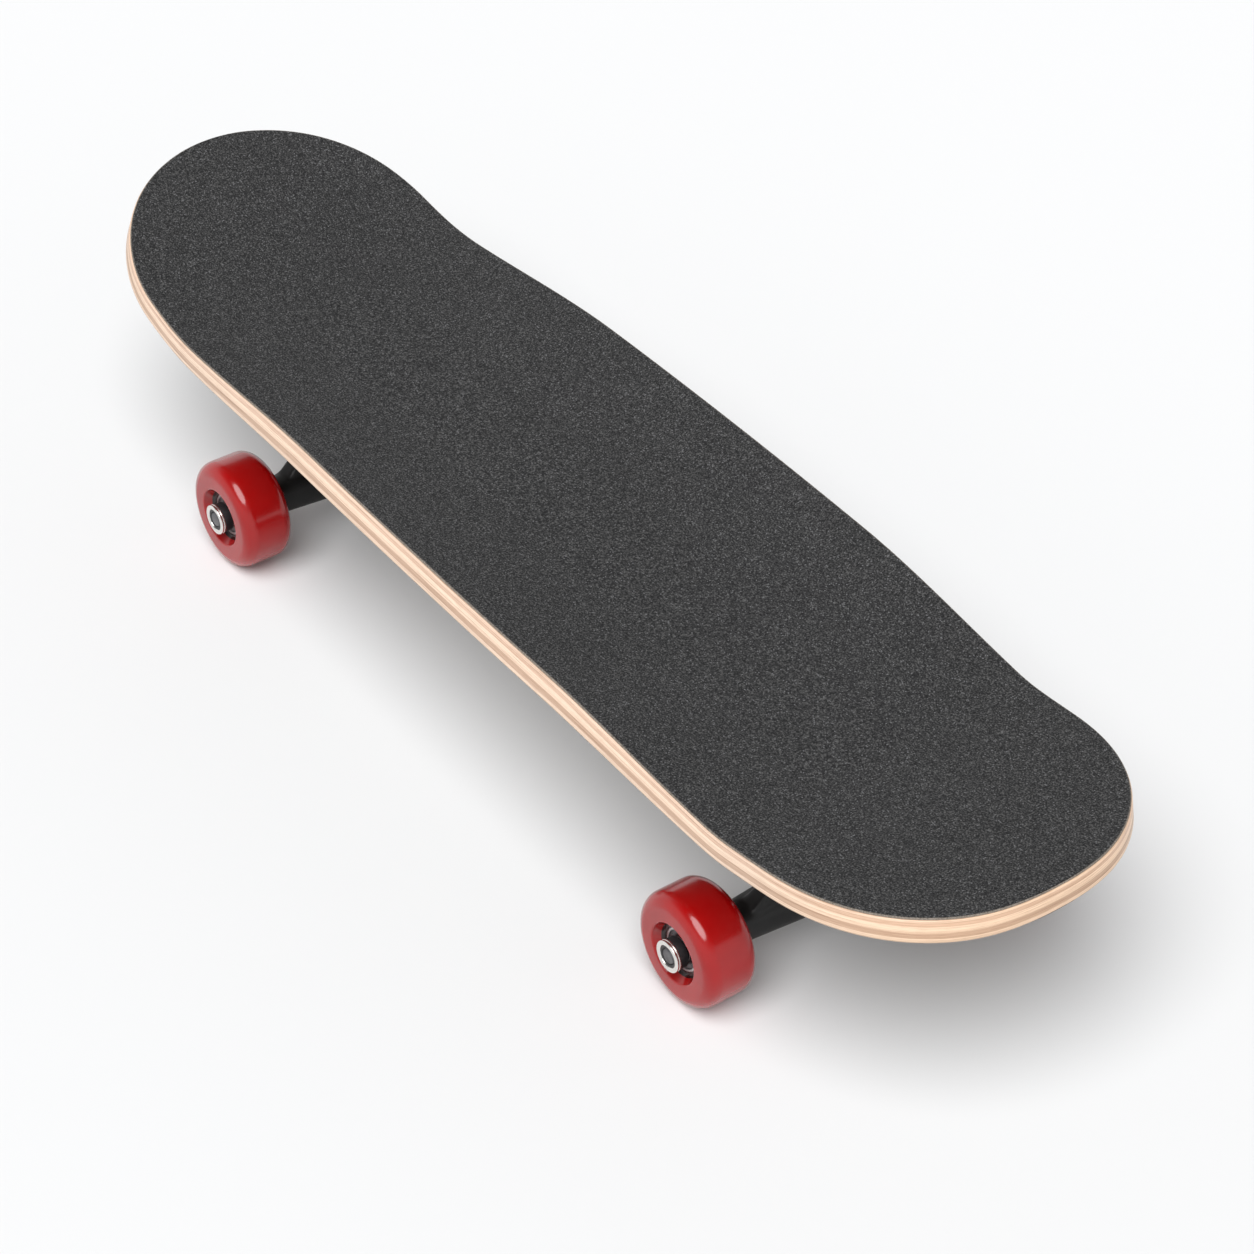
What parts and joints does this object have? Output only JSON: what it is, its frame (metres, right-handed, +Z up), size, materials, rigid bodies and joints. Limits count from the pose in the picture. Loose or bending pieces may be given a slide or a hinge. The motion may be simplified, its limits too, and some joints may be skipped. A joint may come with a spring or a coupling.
{
  "type": "skateboard",
  "caption": "Skateboard with a concave maple deck covered in charcoal grip tape, black kingpin trucks on riser pads, and glossy red wheels.",
  "frame": {"origin": "middle of the board's plan on the floor, between the two tips, under the wheels' contact plane", "axes": "+X along the board to the nose, +Y to the left, +Z up from the floor"},
  "size_m": [0.6742, 0.189, 0.1426],
  "materials": {
    "maple": "maple plies, clear lacquer on the edge",
    "grip_tape": "charcoal abrasive grit",
    "urethane_red": "glossy red polyurethane",
    "black_coated_alloy": "satin black powder coat",
    "steel": "ground bearing steel",
    "zinc_steel": "bright zinc plate",
    "black_steel": "black oxide",
    "bushing_urethane": "satin black polyurethane",
    "riser_rubber": "matt black"
  },
  "bodies": {
    "deck": {"deck": "maple", "grip_tape": "grip_tape", "front_riser_pad": "riser_rubber", "front_baseplate": "black_coated_alloy", "front_pivot_cup": "bushing_urethane", "front_kingpin": "zinc_steel", "front_kingpin_nut": "zinc_steel", "front_board_side_bushing": "bushing_urethane", "front_board_side_washer": "zinc_steel", "front_road_side_bushing": "bushing_urethane", "front_road_side_washer": "zinc_steel", "front_mounting_bolt_1": "black_steel", "front_mounting_bolt_2": "black_steel", "front_mounting_bolt_3": "black_steel", "front_mounting_bolt_4": "black_steel", "rear_riser_pad": "riser_rubber", "rear_baseplate": "black_coated_alloy", "rear_pivot_cup": "bushing_urethane", "rear_kingpin": "zinc_steel", "rear_kingpin_nut": "zinc_steel", "rear_board_side_bushing": "bushing_urethane", "rear_board_side_washer": "zinc_steel", "rear_road_side_bushing": "bushing_urethane", "rear_road_side_washer": "zinc_steel", "rear_mounting_bolt_1": "black_steel", "rear_mounting_bolt_2": "black_steel", "rear_mounting_bolt_3": "black_steel", "rear_mounting_bolt_4": "black_steel"},
    "front_truck": {"front_hanger": "black_coated_alloy", "front_axle": "steel", "front_left_axle_nut": "zinc_steel", "front_left_speed_ring": "black_steel", "front_left_outboard_inner_race": "steel", "front_left_inboard_inner_race": "steel", "front_right_axle_nut": "zinc_steel", "front_right_speed_ring": "black_steel", "front_right_outboard_inner_race": "steel", "front_right_inboard_inner_race": "steel"},
    "rear_truck": {"rear_hanger": "black_coated_alloy", "rear_axle": "steel", "rear_left_axle_nut": "zinc_steel", "rear_left_speed_ring": "black_steel", "rear_left_outboard_inner_race": "steel", "rear_left_inboard_inner_race": "steel", "rear_right_axle_nut": "zinc_steel", "rear_right_speed_ring": "black_steel", "rear_right_outboard_inner_race": "steel", "rear_right_inboard_inner_race": "steel"},
    "front_left_wheel": {"front_left_wheel": "urethane_red", "front_left_outboard_outer_race": "steel", "front_left_inboard_outer_race": "steel"},
    "front_right_wheel": {"front_right_wheel": "urethane_red", "front_right_outboard_outer_race": "steel", "front_right_inboard_outer_race": "steel"},
    "rear_left_wheel": {"rear_left_wheel": "urethane_red", "rear_left_outboard_outer_race": "steel", "rear_left_inboard_outer_race": "steel"},
    "rear_right_wheel": {"rear_right_wheel": "urethane_red", "rear_right_outboard_outer_race": "steel", "rear_right_inboard_outer_race": "steel"}
  },
  "joints": [
    {"name": "front_truck_steer", "type": "hinge", "parent": "deck", "child": "front_truck", "pos_m": [0.16941, 0, 0.0371], "axis": [0.8039, 0, 0.5948], "range_deg": [-14, 14], "stiffness_Nm_per_rad": 90, "deforming": ["front_board_side_bushing", "front_road_side_bushing"]},
    {"name": "rear_truck_steer", "type": "hinge", "parent": "deck", "child": "rear_truck", "pos_m": [-0.15489, 0, 0.0371], "axis": [-0.8039, 0, 0.5948], "range_deg": [-14, 14], "stiffness_Nm_per_rad": 90, "deforming": ["rear_board_side_bushing", "rear_road_side_bushing"]},
    {"name": "front_left_wheel_spin", "type": "hinge", "parent": "front_truck", "child": "front_left_wheel", "pos_m": [0.19791, 0.0768, 0.0281], "axis": [0, 1, 0], "continuous": true},
    {"name": "front_right_wheel_spin", "type": "hinge", "parent": "front_truck", "child": "front_right_wheel", "pos_m": [0.19791, -0.0768, 0.0281], "axis": [0, 1, 0], "continuous": true},
    {"name": "rear_left_wheel_spin", "type": "hinge", "parent": "rear_truck", "child": "rear_left_wheel", "pos_m": [-0.18339, 0.0768, 0.0281], "axis": [0, 1, 0], "continuous": true},
    {"name": "rear_right_wheel_spin", "type": "hinge", "parent": "rear_truck", "child": "rear_right_wheel", "pos_m": [-0.18339, -0.0768, 0.0281], "axis": [0, 1, 0], "continuous": true}
  ]
}
